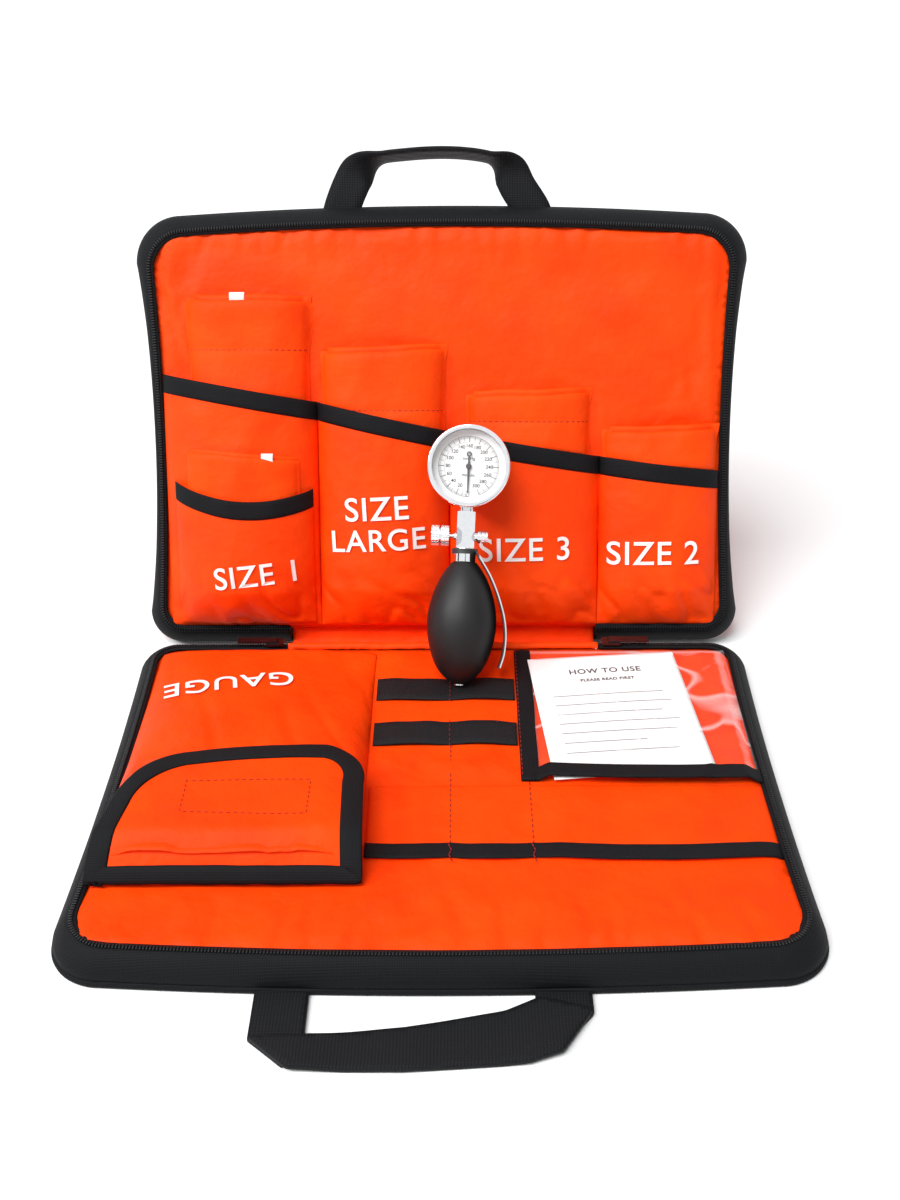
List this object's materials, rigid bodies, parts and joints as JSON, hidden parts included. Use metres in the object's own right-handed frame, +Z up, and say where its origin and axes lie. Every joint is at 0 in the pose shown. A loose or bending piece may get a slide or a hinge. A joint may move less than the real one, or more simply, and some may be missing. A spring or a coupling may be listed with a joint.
{
  "type": "blood pressure cuff kit",
  "caption": "Soft zip case opened like a book, with arm cuffs of graded sizes in pockets, a leaflet, and a palm aneroid gauge with its bulb.",
  "frame": {"origin": "middle of the lower leaf's underside, the flat face that rests on the table", "axes": "+X to the right across the case, +Y from the front edge with the lower handle to the hinge, +Z up"},
  "size_m": [0.37, 0.4517, 0.2761],
  "materials": {
    "outer_nylon": "woven nylon, matte",
    "lining_nylon": "woven nylon, soft sheen",
    "pocket_nylon": "woven nylon, soft sheen",
    "cuff_nylon": "woven nylon, matte",
    "black_binding": "ribbed binding tape, matte",
    "gusset_tape": "woven tape, matte",
    "elastic": "woven elastic, matte",
    "webbing": "woven webbing, satin",
    "hook_and_loop": "napped tape, matte",
    "foam": "open-cell foam, matte",
    "board": "matte",
    "zip_coil": "satin",
    "zip_metal": "satin",
    "clear_vinyl": "gloss",
    "paper": "matte",
    "bladder_rubber": "matte",
    "bulb_rubber": "satin",
    "chrome": "polished",
    "spoon_steel": "polished, black leather on its inner side",
    "steel": "satin",
    "brass": "satin",
    "crystal": "gloss",
    "dial_white": "satin",
    "pointer_black": "matte"
  },
  "bodies": {
    "case_base": {"lower_outer_panel": "outer_nylon", "lower_stiffener_board": "board", "lower_foam_pad": "foam", "lower_lining": "lining_nylon", "lower_gusset": "gusset_tape", "lower_edge_binding": "black_binding", "lower_zip_coil": "zip_coil", "spine_panel": "outer_nylon", "gauge_pocket": "pocket_nylon", "loop_patch": "hook_and_loop", "tube_pocket": "pocket_nylon", "instrument_bands": "elastic", "clear_pocket_window": "clear_vinyl", "lower_pocket_bindings": "black_binding"},
    "pocket_flap": {"flap_panel": "pocket_nylon", "flap_binding": "black_binding", "hook_patch": "hook_and_loop"},
    "leaflet": {"instruction_leaflet": "paper"},
    "base_handle": {"lower_handle": "webbing"},
    "left_zip_slider": {"zip_slider_left": "zip_metal"},
    "right_zip_slider": {"zip_slider_right": "zip_metal"},
    "lid_leaf": {"upper_outer_panel": "outer_nylon", "upper_stiffener_board": "board", "upper_foam_pad": "foam", "upper_lining": "lining_nylon", "upper_gusset": "gusset_tape", "upper_edge_binding": "black_binding", "upper_zip_coil": "zip_coil", "thigh_cuff_pocket": "pocket_nylon", "large_adult_cuff_pocket": "pocket_nylon", "adult_cuff_pocket": "pocket_nylon", "child_cuff_pocket": "pocket_nylon", "infant_cuff_pocket": "pocket_nylon", "upper_pocket_bindings": "black_binding"},
    "lid_handle": {"upper_handle": "webbing"},
    "thigh_cuff": {"thigh_cuff_cover": "cuff_nylon", "thigh_cuff_bladder": "bladder_rubber"},
    "large_adult_cuff": {"large_adult_cuff_cover": "cuff_nylon", "large_adult_cuff_bladder": "bladder_rubber"},
    "adult_cuff": {"adult_cuff_cover": "cuff_nylon", "adult_cuff_bladder": "bladder_rubber"},
    "child_cuff": {"child_cuff_cover": "cuff_nylon", "child_cuff_bladder": "bladder_rubber"},
    "infant_cuff": {"infant_cuff_cover": "cuff_nylon", "infant_cuff_bladder": "bladder_rubber"},
    "palm_gauge": {"bulb": "bulb_rubber", "inlet_valve": "chrome", "valve_body": "chrome", "hose_port": "chrome", "grip_spoon": "spoon_steel", "gauge_case": "steel", "bumper_ring": "chrome", "bezel": "chrome", "crystal": "crystal", "dial": "dial_white", "movement": "brass"},
    "gauge_sector": {"sector_gear": "brass"},
    "gauge_pointer": {"pointer": "pointer_black"},
    "knob": {"release_knob": "chrome"},
    "needle": {"valve_needle": "steel"}
  },
  "joints": [
    {"name": "lid_lean", "type": "hinge", "parent": "case_base", "child": "lid_leaf", "pos_m": [0, 0.151, 0], "axis": [1, 0, 0], "range_deg": [-66.7, 0]},
    {"name": "flap_fold", "type": "hinge", "parent": "case_base", "child": "pocket_flap", "pos_m": [-0.105, -0.0844, 0.0183], "axis": [1, 0, 0], "range_deg": [0, 100]},
    {"name": "leaflet_slide", "type": "slide", "parent": "case_base", "child": "leaflet", "axis": [0, -1, 0], "range_m": [0, 0.12]},
    {"name": "base_handle_lift", "type": "hinge", "parent": "case_base", "child": "base_handle", "pos_m": [0, -0.137, 0.00175], "axis": [-1, 0, 0], "range_deg": [0, 90]},
    {"name": "left_zip_run", "type": "slide", "parent": "case_base", "child": "left_zip_slider", "axis": [-1, 0, 0], "range_m": [0, 0.038]},
    {"name": "right_zip_run", "type": "slide", "parent": "case_base", "child": "right_zip_slider", "axis": [1, 0, 0], "range_m": [0, 0.038]},
    {"name": "lid_handle_swing", "type": "hinge", "parent": "lid_leaf", "child": "lid_handle", "pos_m": [0, 0.2554, 0.24684], "axis": [-1, 0, 0], "range_deg": [-90, 60]},
    {"name": "thigh_cuff_pull", "type": "slide", "parent": "lid_leaf", "child": "thigh_cuff", "axis": [0, 0.3955, 0.9184], "range_m": [0, 0.15]},
    {"name": "large_adult_cuff_pull", "type": "slide", "parent": "lid_leaf", "child": "large_adult_cuff", "axis": [0, 0.3955, 0.9184], "range_m": [0, 0.13]},
    {"name": "adult_cuff_pull", "type": "slide", "parent": "lid_leaf", "child": "adult_cuff", "axis": [0, 0.3955, 0.9184], "range_m": [0, 0.115]},
    {"name": "child_cuff_pull", "type": "slide", "parent": "lid_leaf", "child": "child_cuff", "axis": [0, 0.3955, 0.9184], "range_m": [0, 0.1]},
    {"name": "infant_cuff_pull", "type": "slide", "parent": "lid_leaf", "child": "infant_cuff", "axis": [0, 0.3955, 0.9184], "range_m": [0, 0.085]},
    {"name": "gauge_lift", "type": "slide", "parent": "lid_leaf", "child": "palm_gauge", "axis": [0, -0.8377, 0.5461], "range_m": [0, 0.12]},
    {"name": "sector_swing", "type": "hinge", "parent": "palm_gauge", "child": "gauge_sector", "pos_m": [0.01521, 0.13818, 0.11467], "axis": [0, -0.8377, 0.5461], "range_deg": [0, 42.1], "stiffness_Nm_per_rad": 0.002, "springref_deg": -11.46},
    {"name": "pointer_turn", "type": "hinge", "parent": "palm_gauge", "child": "gauge_pointer", "pos_m": [0.01588, 0.1456, 0.12604], "axis": [0, 0.8377, -0.5461], "range_deg": [0, 337]},
    {"name": "knob_turn", "type": "hinge", "parent": "palm_gauge", "child": "knob", "pos_m": [0.01391, 0.12356, 0.09224], "axis": [-0.9988, 0.0267, 0.0409], "range_deg": [0, 360]},
    {"name": "needle_lift", "type": "slide", "parent": "palm_gauge", "child": "needle", "axis": [-0.9988, 0.0267, 0.0409], "range_m": [0, 0.0007]}
  ],
  "couplings": [
    {"joint": "pointer_turn", "follows": "sector_swing", "ratio": 8},
    {"joint": "needle_lift", "follows": "knob_turn", "m_per_rad": 0.00011}
  ]
}
